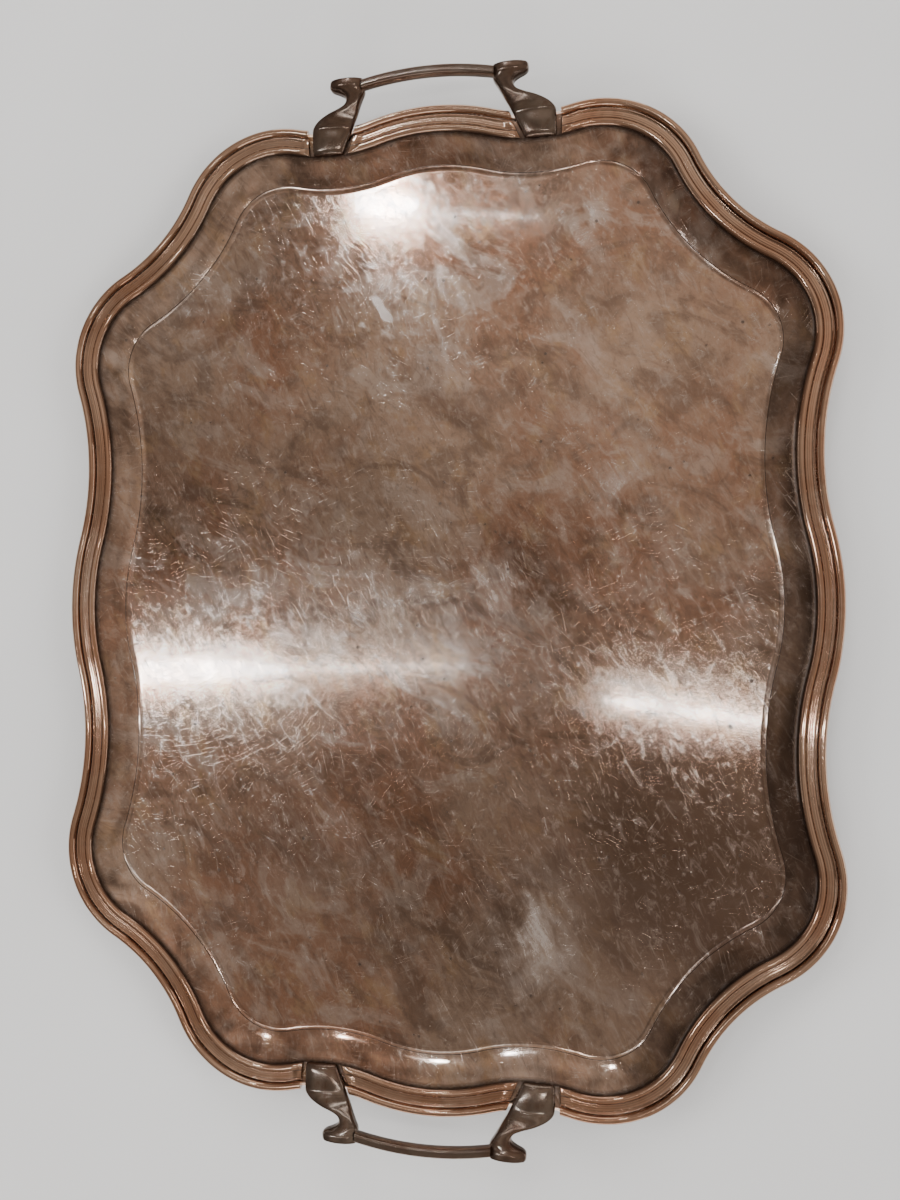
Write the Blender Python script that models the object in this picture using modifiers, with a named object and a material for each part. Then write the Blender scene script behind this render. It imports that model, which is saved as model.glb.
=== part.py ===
"""Serving tray with a scalloped outline, a reeded border and two fixed end handles.

Metres, +Z up. The origin is the centre of the base's underside. +X runs along the tray towards the
front handle and +Y across it. The pan is one sheet. On its flange lie a round edge wire and a reeded
moulding, each in four runs that stop short of the handle feet.
"""

import math

import bmesh
import bpy
from mathutils import Vector

MM = 0.001

# Outline of the rim's outer edge: seven tangent arcs from the end's crest to the side's crest.
END_BULGE_X = 162.0
END_BULGE_R = 122.0
END_DIP_R = 82.0
END_LOBE = (219.0, 92.0)
END_LOBE_R = 60.0
CORNER_SCOOP_R = 100.0
SIDE_LOBE = (145.0, 158.5)
SIDE_LOBE_R = 60.5
SIDE_DIP_R = 162.0
SIDE_BULGE_Y = 58.0
SIDE_BULGE_R = 161.0
ARC_STEPS = (4, 4, 6, 5, 6, 4, 4)

# Section of the sheet, as distances in from the outer edge and heights of its upper face.
SHEET = 1.2
FLANGE_OUTER = 0.8
FLANGE_INNER = 12.6
FLANGE_TOP = 14.6
FLANGE_SLOPE = 0.13
SHOULDER = 1.0
CREASE = 27.0
CREASE_RISE = 0.9
WALL_FOOT_ANGLE = math.radians(28.0)
WALL_STEPS = 4
FLOOR_EDGE = 33.5

# Border trim.
GAP = 0.3
WIRE_R = 2.1
WIRE_SIDES_RESOLUTION = 1
MOULDING_OUTER = 2 * WIRE_R + GAP
MOULDING_INNER = 13.5

# Handles. A foot is straight on its outer side. Its inner side flares towards the rim's outer edge.
FOOT_OUTER_Y = 70.2
FOOT_INNER_Y = 46.2
FOOT_FLARE = 0.48
FOOT_CLEARANCE = 2.5
GRIP_HALF_LENGTH = 36.0
GRIP_X = 294.6
GRIP_BOW = 4.0
GRIP_WIDTH = 4.6
GRIP_HEIGHT = 6.5
GRIP_TOP = 36.0
GRIP_CORNER = 0.9
GRIP_STEPS = 12

# A bracket's stations, from its foot's inner end to its ear: x, height of the underside above the rim's
# outer edge, height from underside to top, and y of the inner and outer edges.
BRACKET_STATIONS = (
    (261.9, -1.15, 2.6, 52.9, 69.5),
    (263.5, -0.95, 4.2, 51.9, 70.2),
    (269.0, -0.2, 5.0, 49.2, 70.2),
    (274.6, 0.55, 5.0, 46.4, 70.1),
    (276.5, 1.1, 5.5, 45.4, 69.5),
    (278.4, 2.3, 5.8, 44.2, 67.4),
    (279.9, 3.5, 6.4, 43.0, 64.2),
    (281.2, 5.0, 6.8, 41.9, 59.6),
    (282.2, 6.1, 6.9, 41.1, 54.2),
    (283.2, 7.3, 6.9, 40.3, 50.0),
    (284.4, 8.6, 6.9, 39.3, 47.9),
    (285.8, 10.1, 6.8, 38.1, 47.3),
    (287.2, 11.6, 6.7, 36.8, 48.2),
    (288.5, 12.8, 6.5, 36.0, 51.2),
    (289.6, 13.6, 6.5, 36.0, 54.4),
    (291.2, 14.5, 6.5, 36.0, 55.8),
    (294.6, 14.9, 6.5, 36.0, 55.4),
)
BRACKET_CROWN = 0.12
BRACKET_CORNER = 0.9


def clear_scene():
    for obj in list(bpy.data.objects):
        bpy.data.objects.remove(obj, do_unlink=True)


def make_material(name, colour, roughness):
    material = bpy.data.materials.new(name)
    material.use_nodes = True
    shader = material.node_tree.nodes["Principled BSDF"]
    shader.inputs["Base Color"].default_value = (*colour, 1.0)
    shader.inputs["Metallic"].default_value = 1.0
    shader.inputs["Roughness"].default_value = roughness
    return material


# ---------------------------------------------------------------- outline


def touching_centre(first, first_reach, second, second_reach):
    """The point at these two distances from two centres, on the side away from the origin."""
    first, second = Vector(first), Vector(second)
    between = second - first
    span = between.length
    along = (first_reach**2 - second_reach**2 + span**2) / (2 * span)
    across = math.sqrt(first_reach**2 - along**2)
    unit = between / span
    normal = Vector((-unit.y, unit.x))
    ends = [first + unit * along + normal * across, first + unit * along - normal * across]
    return max(ends, key=lambda point: point.length)


def quarter_arcs():
    """(centre, radius, turn, start angle, end angle) of each arc. turn is 1 on a lobe and -1 on a dip."""
    bulge = Vector((END_BULGE_X, 0.0))
    lobe = Vector(END_LOBE)
    side_lobe = Vector(SIDE_LOBE)
    side_bulge = Vector((0.0, SIDE_BULGE_Y))
    dip = touching_centre(bulge, END_BULGE_R + END_DIP_R, lobe, END_LOBE_R + END_DIP_R)
    scoop = touching_centre(
        lobe, END_LOBE_R + CORNER_SCOOP_R, side_lobe, SIDE_LOBE_R + CORNER_SCOOP_R
    )
    side_dip = touching_centre(
        side_lobe, SIDE_LOBE_R + SIDE_DIP_R, side_bulge, SIDE_BULGE_R + SIDE_DIP_R
    )
    chain = [
        (bulge, END_BULGE_R, 1),
        (dip, END_DIP_R, -1),
        (lobe, END_LOBE_R, 1),
        (scoop, CORNER_SCOOP_R, -1),
        (side_lobe, SIDE_LOBE_R, 1),
        (side_dip, SIDE_DIP_R, -1),
        (side_bulge, SIDE_BULGE_R, 1),
    ]
    arcs = []
    for i, (centre, radius, turn) in enumerate(chain):
        before = chain[i - 1][0] if i else centre + Vector((1.0, 0.0))
        after = chain[i + 1][0] if i < len(chain) - 1 else centre + Vector((0.0, 1.0))
        start = math.atan2(before.y - centre.y, before.x - centre.x)
        end = math.atan2(after.y - centre.y, after.x - centre.x)
        sweep = (end - start + math.pi) % (2 * math.pi) - math.pi
        arcs.append((centre, radius, turn, start, start + sweep))
    return arcs


ARCS = quarter_arcs()


def arc_points(index, offset, start=None, end=None):
    """Points of one arc, moved in from the outer edge by offset."""
    centre, radius, turn, first, last = ARCS[index]
    start = first if start is None else start
    end = last if end is None else end
    reach = radius - turn * offset
    steps = ARC_STEPS[index]
    points = []
    for i in range(steps + 1):
        angle = start + (end - start) * i / steps
        points.append(centre + reach * Vector((math.cos(angle), math.sin(angle))))
    return points


def dip_angle_at(y, offset):
    """The end dip's angle where the line at this offset is at y."""
    centre, radius, turn, _, _ = ARCS[1]
    return -math.pi - math.asin((y - centre.y) / (radius - turn * offset))


def chained(pieces):
    """Arc by arc, with each shared end point kept once."""
    points = list(pieces[0])
    for piece in pieces[1:]:
        points += piece[1:]
    return points


def mirrored(points, x_sign, y_sign):
    return [Vector((x_sign * p.x, y_sign * p.y)) for p in points]


def ring(offset):
    """The whole outline, anticlockwise from the front crest."""
    quarter = chained([arc_points(i, offset) for i in range(len(ARCS))])
    left_rear = mirrored(reversed(quarter), -1, 1)
    right_rear = mirrored(quarter, -1, -1)
    right_front = mirrored(reversed(quarter), 1, -1)
    return quarter + left_rear[1:] + right_rear[1:] + right_front[1:-1]


def side_run(offset):
    """One long side, from the front foot to the rear foot."""
    cut = FOOT_OUTER_Y + FOOT_CLEARANCE
    first = arc_points(1, offset, start=dip_angle_at(cut, offset))
    half = chained([first] + [arc_points(i, offset) for i in range(2, len(ARCS))])
    return half + mirrored(reversed(half), -1, 1)[1:]


def end_run(offset):
    """The front end between its two feet, cut along their flared sides."""
    cut = FOOT_INNER_Y + FOOT_FLARE * offset - FOOT_CLEARANCE
    last = arc_points(1, offset, end=dip_angle_at(cut, offset))
    half = chained([arc_points(0, offset), last])
    return mirrored(reversed(half), 1, -1) + half[1:]


# ---------------------------------------------------------------- mesh helpers


def raised(points, height):
    return [Vector((p.x, p.y, height)) for p in points]


def skin(name, rails, closed_rails, closed_section):
    """A surface over rails of equal length. An open rail's ends are capped if the section is closed."""
    bm = bmesh.new()
    rows = [[bm.verts.new(point * MM) for point in rail] for rail in rails]
    count = len(rows[0])
    last_row = len(rows) if closed_section else len(rows) - 1
    last_point = count if closed_rails else count - 1
    for i in range(last_row):
        row, following = rows[i], rows[(i + 1) % len(rows)]
        for j in range(last_point):
            k = (j + 1) % count
            bm.faces.new((row[j], row[k], following[k], following[j]))
    if closed_section and not closed_rails:
        bm.faces.new([row[0] for row in rows])
        bm.faces.new([row[-1] for row in rows])
    elif not closed_section:
        bm.faces.new(rows[-1])
    bmesh.ops.recalc_face_normals(bm, faces=bm.faces)
    bm.faces.ensure_lookup_table()
    if not closed_section and bm.faces[-1].normal.z < 0:
        bmesh.ops.reverse_faces(bm, faces=bm.faces)
    mesh = bpy.data.meshes.new(name)
    bm.to_mesh(mesh)
    bm.free()
    mesh.shade_smooth()
    mesh.set_sharp_from_angle(angle=math.radians(35))
    return mesh


def add_object(name, data, material, collection):
    obj = bpy.data.objects.new(name, data)
    if not data.materials:
        data.materials.append(material)
    collection.objects.link(obj)
    return obj


# ---------------------------------------------------------------- pieces


def flange_height(offset):
    """Height of the flange's upper face at this distance in from the outer edge."""
    return FLANGE_TOP - (offset - FLANGE_OUTER) * FLANGE_SLOPE


def wall_profile():
    """The hollow wall's points from its top to the crease: a shallow arc, steepest at the top."""
    top = FLANGE_INNER + SHOULDER
    top_height = flange_height(FLANGE_INNER) - SHOULDER * 0.7
    foot_height = SHEET + CREASE_RISE
    chord_angle = math.atan2(top_height - foot_height, CREASE - top)
    chord = math.hypot(top_height - foot_height, CREASE - top)
    half_turn = chord_angle - WALL_FOOT_ANGLE
    radius = chord / (2 * math.sin(half_turn))
    points = []
    for i in range(WALL_STEPS + 1):
        slope = chord_angle + half_turn * (1 - 2 * i / WALL_STEPS)
        run = radius * (math.sin(slope) - math.sin(WALL_FOOT_ANGLE))
        rise = radius * (math.cos(WALL_FOOT_ANGLE) - math.cos(slope))
        points.append((CREASE - run, foot_height + rise))
    return points


def pan_profile():
    fillet = (CREASE + FLOOR_EDGE) / 2
    return [
        (FLANGE_OUTER, FLANGE_TOP),
        (FLANGE_INNER, flange_height(FLANGE_INNER)),
        *wall_profile(),
        (fillet, SHEET + CREASE_RISE * 0.25),
        (FLOOR_EDGE, SHEET),
    ]


def build_pan(material, collection):
    rails = [raised(ring(offset), height) for offset, height in pan_profile()]
    mesh = skin("tray_pan", rails, closed_rails=True, closed_section=False)
    pan = add_object("tray_pan", mesh, material, collection)
    sheet = pan.modifiers.new("Sheet", "SOLIDIFY")
    sheet.thickness = SHEET * MM
    sheet.offset = -1.0
    sheet.use_even_offset = True
    return pan


def moulding_profile():
    """Closed section of the border strip: an outer lip, two reeds and the inner bead."""
    crown = [
        (MOULDING_OUTER, 1.2),
        (5.4, 1.9),
        (6.5, 1.3),
        (7.6, 1.9),
        (8.9, 1.2),
        (9.8, 1.9),
        (10.8, 2.7),
        (12.0, 2.8),
        (13.1, 2.1),
        (MOULDING_INNER, 0.9),
    ]
    base = [(MOULDING_INNER, GAP), (MOULDING_OUTER, GAP)]
    return [(offset, flange_height(offset) + height) for offset, height in crown + base]


def build_trim(name, run, x_sign, y_sign, material, collection):
    """One run of moulding and the edge wire outside it."""
    rails = [
        raised(mirrored(run(offset), x_sign, y_sign), height)
        for offset, height in moulding_profile()
    ]
    mesh = skin(name, rails, closed_rails=False, closed_section=True)
    add_object(name + "_rim_moulding", mesh, material, collection)

    curve = bpy.data.curves.new(name + "_edge_wire", "CURVE")
    curve.dimensions = "3D"
    curve.bevel_depth = WIRE_R * MM
    curve.bevel_resolution = WIRE_SIDES_RESOLUTION
    curve.use_fill_caps = True
    height = FLANGE_TOP + GAP + WIRE_R
    points = raised(mirrored(run(WIRE_R), x_sign, y_sign), height)
    spline = curve.splines.new("POLY")
    spline.points.add(len(points) - 1)
    for control, point in zip(spline.points, points):
        control.co = (*(point * MM), 1.0)
    add_object(name + "_edge_wire", curve, material, collection)


def bracket_section(x, rise, thickness, inner, outer):
    """Ten points across the bracket: a flat underside and a crowned upper face."""
    base = FLANGE_TOP + rise
    crown = BRACKET_CROWN * thickness
    edge = min(BRACKET_CORNER, BRACKET_CROWN * (outer - inner))
    middle = (inner + outer) / 2
    across = [
        (inner + edge / 2, 0.0),
        (middle, 0.0),
        (outer - edge / 2, 0.0),
        (outer, edge),
        (outer, thickness - crown - edge),
        (outer - edge, thickness - crown),
        (middle, thickness),
        (inner + edge, thickness - crown),
        (inner, thickness - crown - edge),
        (inner, edge),
    ]
    return [Vector((x, y, base + up)) for y, up in across]


def build_bracket(name, x_sign, y_sign, material, collection):
    sections = [bracket_section(*station) for station in BRACKET_STATIONS]
    rails = [
        [Vector((x_sign * s[i].x, y_sign * s[i].y, s[i].z)) for s in sections]
        for i in range(len(sections[0]))
    ]
    mesh = skin(name, rails, closed_rails=False, closed_section=True)
    return add_object(name, mesh, material, collection)


def build_grip(name, x_sign, material, collection):
    """A bowed bar between two brackets, with softened corners."""
    half = GRIP_HALF_LENGTH - GAP
    radius = (half**2 + GRIP_BOW**2) / (2 * GRIP_BOW)
    soft = GRIP_CORNER
    wide, tall = GRIP_WIDTH / 2, GRIP_HEIGHT
    section = [
        (-wide + soft, 0.0),
        (wide - soft, 0.0),
        (wide, soft),
        (wide, tall - soft),
        (wide - soft, tall),
        (-wide + soft, tall),
        (-wide, tall - soft),
        (-wide, soft),
    ]
    rails = []
    for out, up in section:
        rail = []
        for i in range(GRIP_STEPS + 1):
            y = -half + 2 * half * i / GRIP_STEPS
            bow = math.sqrt(radius**2 - y**2) - radius
            x = GRIP_X + bow + out
            rail.append(Vector((x_sign * x, y, GRIP_TOP - GRIP_HEIGHT + up)))
        rails.append(rail)
    mesh = skin(name, rails, closed_rails=False, closed_section=True)
    return add_object(name, mesh, material, collection)


def main():
    clear_scene()
    tray = bpy.data.collections.new("serving_tray")
    bpy.context.scene.collection.children.link(tray)
    sheet = make_material("plated_sheet", (0.46, 0.34, 0.29), 0.22)
    trim = make_material("plated_trim", (0.56, 0.42, 0.35), 0.18)
    casting = make_material("plated_casting", (0.42, 0.35, 0.30), 0.26)

    build_pan(sheet, tray)
    build_trim("left", side_run, 1, 1, trim, tray)
    build_trim("right", side_run, 1, -1, trim, tray)
    build_trim("front", end_run, 1, 1, trim, tray)
    build_trim("rear", end_run, -1, 1, trim, tray)
    for end, x_sign in (("front", 1), ("rear", -1)):
        for side, y_sign in (("left", 1), ("right", -1)):
            build_bracket(f"{end}_{side}_handle_bracket", x_sign, y_sign, casting, tray)
        build_grip(f"{end}_handle_grip", x_sign, casting, tray)


main()
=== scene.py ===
"""Looks of the serving tray: a fine mesh for every CAD node, worn silver-plated copper, studio light."""

import math

import bmesh
import bpy
from mathutils import Euler, Matrix, Vector, noise


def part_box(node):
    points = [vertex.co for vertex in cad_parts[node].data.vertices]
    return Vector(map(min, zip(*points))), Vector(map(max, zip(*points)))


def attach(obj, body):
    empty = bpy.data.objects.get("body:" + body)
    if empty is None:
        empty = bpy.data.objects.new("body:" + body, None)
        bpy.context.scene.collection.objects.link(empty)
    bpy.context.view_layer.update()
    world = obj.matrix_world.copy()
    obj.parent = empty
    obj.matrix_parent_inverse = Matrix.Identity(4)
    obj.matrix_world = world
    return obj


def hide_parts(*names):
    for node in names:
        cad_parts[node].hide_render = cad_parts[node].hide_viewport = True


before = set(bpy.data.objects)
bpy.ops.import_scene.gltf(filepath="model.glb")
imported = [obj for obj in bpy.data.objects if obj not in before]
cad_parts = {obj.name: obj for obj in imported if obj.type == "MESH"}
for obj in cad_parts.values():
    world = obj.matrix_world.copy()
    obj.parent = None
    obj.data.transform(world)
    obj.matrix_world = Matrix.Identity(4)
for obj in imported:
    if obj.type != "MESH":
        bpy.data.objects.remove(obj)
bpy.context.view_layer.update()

MM = 0.001

# Driving sizes of the tray in millimetres, the same as the CAD model's.
END_BULGE_X = 162.0
END_BULGE_R = 122.0
END_DIP_R = 82.0
END_LOBE = (219.0, 92.0)
END_LOBE_R = 60.0
CORNER_SCOOP_R = 100.0
SIDE_LOBE = (145.0, 158.5)
SIDE_LOBE_R = 60.5
SIDE_DIP_R = 162.0
SIDE_BULGE_Y = 58.0
SIDE_BULGE_R = 161.0
ARC_STEPS = (30, 30, 40, 36, 40, 30, 30)

SHEET = 1.2
FLANGE_OUTER = 0.8
FLANGE_INNER = 12.6
FLANGE_SLOPE = 0.13
CREASE = 27.0
CREASE_RISE = 0.9
WALL_FOOT_ANGLE = math.radians(28.0)
FLOOR_EDGE = 33.5
WIRE_R = 2.1
GAP = 0.3
MOULDING_OUTER = 2 * WIRE_R + GAP
MOULDING_INNER = 13.5
FOOT_OUTER_Y = 70.2
FOOT_INNER_Y = 46.2
FOOT_FLARE = 0.48
FOOT_CLEARANCE = 2.5
GRIP_BOW = 4.0

# A bracket's stations, from its foot's inner end to its ear: x, height of the underside above the rim's
# outer edge, height from underside to top, and y of the inner and outer edges.
BRACKET_STATIONS = (
    (261.9, -1.15, 2.6, 52.9, 69.5),
    (263.5, -0.95, 4.2, 51.9, 70.2),
    (269.0, -0.2, 5.0, 49.2, 70.2),
    (274.6, 0.55, 5.0, 46.4, 70.1),
    (276.5, 1.1, 5.5, 45.4, 69.5),
    (278.4, 2.3, 5.8, 44.2, 67.4),
    (279.9, 3.5, 6.4, 43.0, 64.2),
    (281.2, 5.0, 6.8, 41.9, 59.6),
    (282.2, 6.1, 6.9, 41.1, 54.2),
    (283.2, 7.3, 6.9, 40.3, 50.0),
    (284.4, 8.6, 6.9, 39.3, 47.9),
    (285.8, 10.1, 6.8, 38.1, 47.3),
    (287.2, 11.6, 6.7, 36.8, 48.2),
    (288.5, 12.8, 6.5, 36.0, 51.2),
    (289.6, 13.6, 6.5, 36.0, 54.4),
    (291.2, 14.5, 6.5, 36.0, 55.8),
    (294.6, 14.9, 6.5, 36.0, 55.4),
)

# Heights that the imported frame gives.
FLANGE_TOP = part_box("tray_pan")[1][2] / MM
WIRE_Z = (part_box("left_edge_wire")[0][2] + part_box("left_edge_wire")[1][2]) / 2 / MM
GRIP_LOW, GRIP_HIGH = (Vector(corner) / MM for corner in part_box("front_handle_grip"))


# ---------------------------------------------------------------- outline


def touching_centre(first, first_reach, second, second_reach):
    """The point at these two distances from two centres, on the side away from the origin."""
    first, second = Vector(first), Vector(second)
    between = second - first
    span = between.length
    along = (first_reach**2 - second_reach**2 + span**2) / (2 * span)
    across = math.sqrt(first_reach**2 - along**2)
    unit = between / span
    normal = Vector((-unit.y, unit.x))
    ends = [first + unit * along + normal * across, first + unit * along - normal * across]
    return max(ends, key=lambda point: point.length)


def quarter_arcs():
    """(centre, radius, turn, start angle, end angle) of each arc. turn is 1 on a lobe and -1 on a dip."""
    bulge = Vector((END_BULGE_X, 0.0))
    lobe = Vector(END_LOBE)
    side_lobe = Vector(SIDE_LOBE)
    side_bulge = Vector((0.0, SIDE_BULGE_Y))
    dip = touching_centre(bulge, END_BULGE_R + END_DIP_R, lobe, END_LOBE_R + END_DIP_R)
    scoop = touching_centre(
        lobe, END_LOBE_R + CORNER_SCOOP_R, side_lobe, SIDE_LOBE_R + CORNER_SCOOP_R
    )
    side_dip = touching_centre(
        side_lobe, SIDE_LOBE_R + SIDE_DIP_R, side_bulge, SIDE_BULGE_R + SIDE_DIP_R
    )
    chain = [
        (bulge, END_BULGE_R, 1),
        (dip, END_DIP_R, -1),
        (lobe, END_LOBE_R, 1),
        (scoop, CORNER_SCOOP_R, -1),
        (side_lobe, SIDE_LOBE_R, 1),
        (side_dip, SIDE_DIP_R, -1),
        (side_bulge, SIDE_BULGE_R, 1),
    ]
    arcs = []
    for i, (centre, radius, turn) in enumerate(chain):
        before = chain[i - 1][0] if i else centre + Vector((1.0, 0.0))
        after = chain[i + 1][0] if i < len(chain) - 1 else centre + Vector((0.0, 1.0))
        start = math.atan2(before.y - centre.y, before.x - centre.x)
        end = math.atan2(after.y - centre.y, after.x - centre.x)
        sweep = (end - start + math.pi) % (2 * math.pi) - math.pi
        arcs.append((centre, radius, turn, start, start + sweep))
    return arcs


ARCS = quarter_arcs()


def arc_points(index, offset, start=None, end=None):
    """Points of one arc, moved in from the outer edge by offset."""
    centre, radius, turn, first, last = ARCS[index]
    start = first if start is None else start
    end = last if end is None else end
    reach = radius - turn * offset
    steps = ARC_STEPS[index]
    points = []
    for i in range(steps + 1):
        angle = start + (end - start) * i / steps
        points.append(centre + reach * Vector((math.cos(angle), math.sin(angle))))
    return points


def dip_angle_at(y, offset):
    """The end dip's angle where the line at this offset is at y."""
    centre, radius, turn, _, _ = ARCS[1]
    return -math.pi - math.asin((y - centre.y) / (radius - turn * offset))


def chained(pieces):
    points = list(pieces[0])
    for piece in pieces[1:]:
        points += piece[1:]
    return points


def mirrored(points, x_sign, y_sign):
    return [Vector((x_sign * p.x, y_sign * p.y)) for p in points]


def ring(offset):
    """The whole outline, anticlockwise from the front crest."""
    quarter = chained([arc_points(i, offset) for i in range(len(ARCS))])
    left_rear = mirrored(reversed(quarter), -1, 1)
    right_rear = mirrored(quarter, -1, -1)
    right_front = mirrored(reversed(quarter), 1, -1)
    return quarter + left_rear[1:] + right_rear[1:] + right_front[1:-1]


def side_run(offset):
    """One long side, from the front foot to the rear foot."""
    cut = FOOT_OUTER_Y + FOOT_CLEARANCE
    first = arc_points(1, offset, start=dip_angle_at(cut, offset))
    half = chained([first] + [arc_points(i, offset) for i in range(2, len(ARCS))])
    return half + mirrored(reversed(half), -1, 1)[1:]


def end_run(offset):
    """The front end between its two feet, cut along their flared sides."""
    cut = FOOT_INNER_Y + FOOT_FLARE * offset - FOOT_CLEARANCE
    last = arc_points(1, offset, end=dip_angle_at(cut, offset))
    half = chained([arc_points(0, offset), last])
    return mirrored(reversed(half), 1, -1) + half[1:]


# ---------------------------------------------------------------- mesh helpers


def smoothstep(value):
    value = min(1.0, max(0.0, value))
    return value * value * (3 - 2 * value)


def skin(name, rails, closed_rails, closed_section, sharp, shade_and_grime):
    """A surface over rails of equal length, with open ends capped if the section is closed.

    The last argument holds one number for each rail, which the materials read as painted shade that
    darkens creases, grooves and undersides, and as dirt that makes them rougher.
    """
    bm = bmesh.new()
    rows = [[bm.verts.new(point * MM) for point in rail] for rail in rails]
    count = len(rows[0])
    last_row = len(rows) if closed_section else len(rows) - 1
    last_point = count if closed_rails else count - 1
    for i in range(last_row):
        row, following = rows[i], rows[(i + 1) % len(rows)]
        for j in range(last_point):
            k = (j + 1) % count
            bm.faces.new((row[j], row[k], following[k], following[j]))
    if closed_section and not closed_rails:
        bm.faces.new([row[0] for row in rows])
        bm.faces.new([row[-1] for row in rows])
    elif not closed_section:
        bm.faces.new(rows[-1])
    bmesh.ops.recalc_face_normals(bm, faces=bm.faces)
    bm.faces.ensure_lookup_table()
    if not closed_section and bm.faces[-1].normal.z < 0:
        bmesh.ops.reverse_faces(bm, faces=bm.faces)
    mesh = bpy.data.meshes.new(name)
    bm.to_mesh(mesh)
    bm.free()
    mesh.shade_smooth()
    mesh.set_sharp_from_angle(angle=math.radians(sharp))
    shade_and_dirt = mesh.attributes.new("shade_and_grime", "FLOAT", "POINT")
    shade_and_dirt.data.foreach_set("value", [amount for amount in shade_and_grime for _ in range(count)])
    return mesh


def add_piece(name, mesh, node_name, material):
    """A visible piece that stands for one CAD node."""
    obj = bpy.data.objects.new(name, mesh)
    bpy.context.scene.collection.objects.link(obj)
    mesh.materials.append(material)
    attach(obj, "root")
    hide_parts(node_name)
    return obj


# ---------------------------------------------------------------- pan


def flange_height(offset):
    return FLANGE_TOP - (offset - FLANGE_OUTER) * FLANGE_SLOPE


WALL_STEPS = 14
SHOULDER = 1.0
SHOULDER_DROP = 0.7


def wall_profile():
    """The hollow wall's points from its top to the crease: a shallow arc, steepest at the top."""
    top = FLANGE_INNER + SHOULDER
    top_height = flange_height(FLANGE_INNER) - SHOULDER_DROP
    foot_height = SHEET + CREASE_RISE
    chord_angle = math.atan2(top_height - foot_height, CREASE - top)
    chord = math.hypot(top_height - foot_height, CREASE - top)
    half_turn = chord_angle - WALL_FOOT_ANGLE
    radius = chord / (2 * math.sin(half_turn))
    points = []
    for i in range(WALL_STEPS + 1):
        slope = chord_angle + half_turn * (1 - 2 * i / WALL_STEPS)
        run = radius * (math.sin(slope) - math.sin(WALL_FOOT_ANGLE))
        rise = radius * (math.cos(WALL_FOOT_ANGLE) - math.cos(slope))
        points.append((CREASE - run, foot_height + rise))
    return points


# The flange has little painted shade from its edge to CLEAN_END, and its inner edge has a small step
# down.
CLEAN_END = 5.0
CLEAN_SHADE_AND_GRIME = 0.15
STEP_WIDTH = 0.6
STEP_DROP = 0.2
CREASE_DROP = 0.22
FILLET_START = CREASE + 0.4
FILLET_END = CREASE + 3.8
FILLET_STEPS = 12
FLOOR_RINGS = 30
WAVE_HEIGHT = 0.13
WAVE_LENGTH = 95.0
WAVE_FADE_RINGS = 5
WAVE_SEED = 7.3
PAN_SHARP_ANGLE = 14
TRIM_SHARP_ANGLE = 50


def pan_profile():
    """(offset, height, painted shade and grime) of the sheet's upper face, from the flange's edge to the
    flat floor.
    """
    rows = [
        (FLANGE_OUTER, FLANGE_TOP, CLEAN_SHADE_AND_GRIME),
        (CLEAN_END, flange_height(CLEAN_END), CLEAN_SHADE_AND_GRIME),
        # painted shade from the flange's inner edge to the top of the wall, under the border
        (FLANGE_INNER, flange_height(FLANGE_INNER), 0.8),
        (FLANGE_INNER + STEP_WIDTH, flange_height(FLANGE_INNER) - STEP_DROP, 1.0),
    ]
    wall = wall_profile()
    for i, (offset, height) in enumerate(wall):
        rows.append((offset, height, max(0.9 * (1 - i / 2), 0.0)))
    foot = SHEET + CREASE_RISE
    # painted shade: a dark line along the crease
    rows += [
        (CREASE + 0.06, foot - CREASE_DROP * 0.5, 1.0),
        (CREASE + 0.32, foot - CREASE_DROP, 1.0),
    ]
    height = foot - CREASE_DROP
    for i in range(FILLET_STEPS + 1):
        t = i / FILLET_STEPS
        offset = FILLET_START + (FILLET_END - FILLET_START) * t
        rows.append((offset, SHEET + (height - SHEET) * (1 - t) ** 2, 0.0))
    rows.append((FLOOR_EDGE, SHEET, 0.0))
    return rows


def pan_rails():
    """The profile's rails and, inside them, ever smaller ones over a floor that is not quite flat."""
    rows = pan_profile()
    rails = [[Vector((p.x, p.y, z)) for p in ring(offset)] for offset, z, _ in rows]
    shade_and_grime = [shade_and_dirt for _, _, shade_and_dirt in rows]
    edge = ring(FLOOR_EDGE)
    for i in range(1, FLOOR_RINGS):
        keep = 1 - i / FLOOR_RINGS
        fade = smoothstep(i / WAVE_FADE_RINGS)
        rail = []
        for p in edge:
            x, y = p.x * keep, p.y * keep
            wave = noise.noise(Vector((x, y, WAVE_SEED)) / WAVE_LENGTH)
            rail.append(Vector((x, y, SHEET + WAVE_HEIGHT * fade * wave)))
        rails.append(rail)
        shade_and_grime.append(0.0)
    return rails, shade_and_grime


def build_pan(material):
    rails, shade_and_grime = pan_rails()
    mesh = skin("tray_pan_sheet", rails, True, False, PAN_SHARP_ANGLE, shade_and_grime)
    pan = add_piece("tray_pan_sheet", mesh, "tray_pan", material)
    sheet = pan.modifiers.new("Sheet", "SOLIDIFY")
    sheet.thickness = (SHEET - WAVE_HEIGHT) * MM
    sheet.offset = -1.0
    sheet.use_even_offset = False
    return pan


# ---------------------------------------------------------------- border

CROWN_STEPS = 48
BAND_HEIGHT = 1.2
LIP = (4.95, 0.85, 0.6)  # offset, height, half width
REEDS = ((6.75, 0.1, 0.5), (7.85, 0.14, 0.5), (8.85, 0.1, 0.5))  # the same for each reed
BEAD_AT = 11.35
BEAD_HALF = 2.1
BEAD_FOOT = 0.85
BEAD_RISE = 2.0
# The border is plain at a cut end, from which it runs PLAIN_END before its reeds rise over REED_FADE.
PLAIN_HEIGHT = 1.7
PLAIN_CROWN = 0.4
PLAIN_END = 1.5
REED_FADE = 5.0
CUT_SOFTENED = 0.5
# Painted shade in the grooves beside the lip and the bead: offset, half width, amount.
GROOVES = ((5.95, 0.25, 0.5), (9.85, 0.35, 0.7))
REED_GROOVE = (0.55, 0.22, 0.25)  # the same, with the offset counted from each reed


def bump_at(offset, centre, half_width):
    return math.exp(-(((offset - centre) / half_width) ** 2))


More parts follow.
